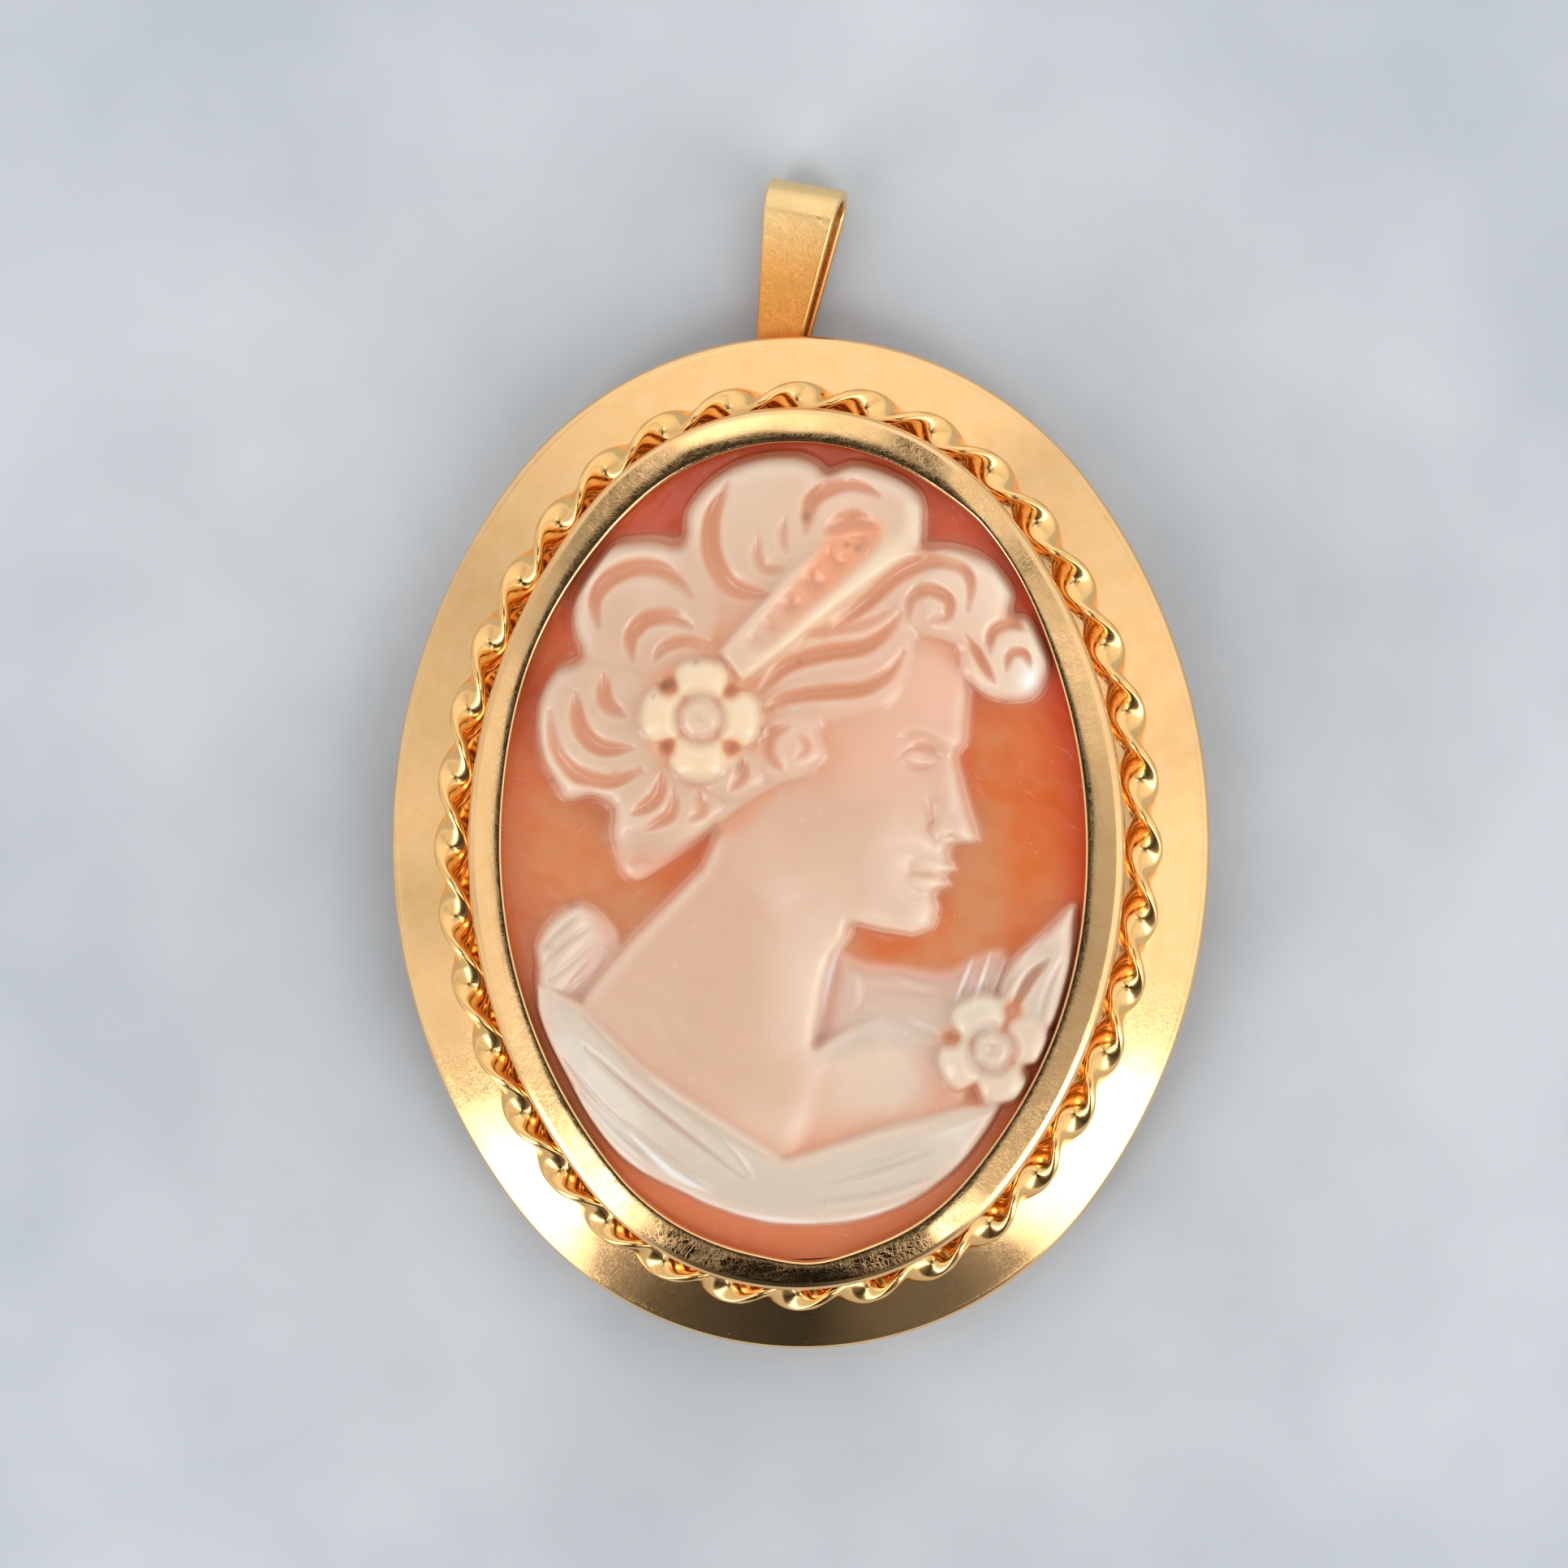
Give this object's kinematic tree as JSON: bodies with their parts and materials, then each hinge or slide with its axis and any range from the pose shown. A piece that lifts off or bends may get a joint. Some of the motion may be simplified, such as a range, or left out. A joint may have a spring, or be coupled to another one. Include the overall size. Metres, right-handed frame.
{
  "type": "cameo pendant",
  "caption": "Oval carved shell cameo of a bust in profile, set in a gold frame with a twisted wire border and a folded strip bail on a loop behind the rim.",
  "frame": {"origin": "on the surface that the pendant lies on, under the middle of the outline of frame and bail", "axes": "+Z out of the cameo's face, +Y from the foot of the oval towards the bail, +X to the wearer's left as the face is seen"},
  "size_m": [0.0254, 0.0364, 0.0067],
  "materials": {
    "polished_gold": "polished yellow gold with fine handling marks",
    "wire_gold": "polished yellow gold, darker in the hollows",
    "carved_shell": "polished shell, orange ground under a cream carved layer",
    "bail_gold": "polished yellow gold"
  },
  "bodies": {
    "pendant": {"gold_frame": "polished_gold", "twisted_wire": "wire_gold", "cameo": "carved_shell"},
    "bail": {"bail": "bail_gold"}
  },
  "joints": [
    {"name": "bail_swing", "type": "hinge", "parent": "pendant", "child": "bail", "pos_m": [-0.00075, 0.01232, 0.00118], "axis": [-1, 0, 0], "range_deg": [-2, 90]}
  ]
}
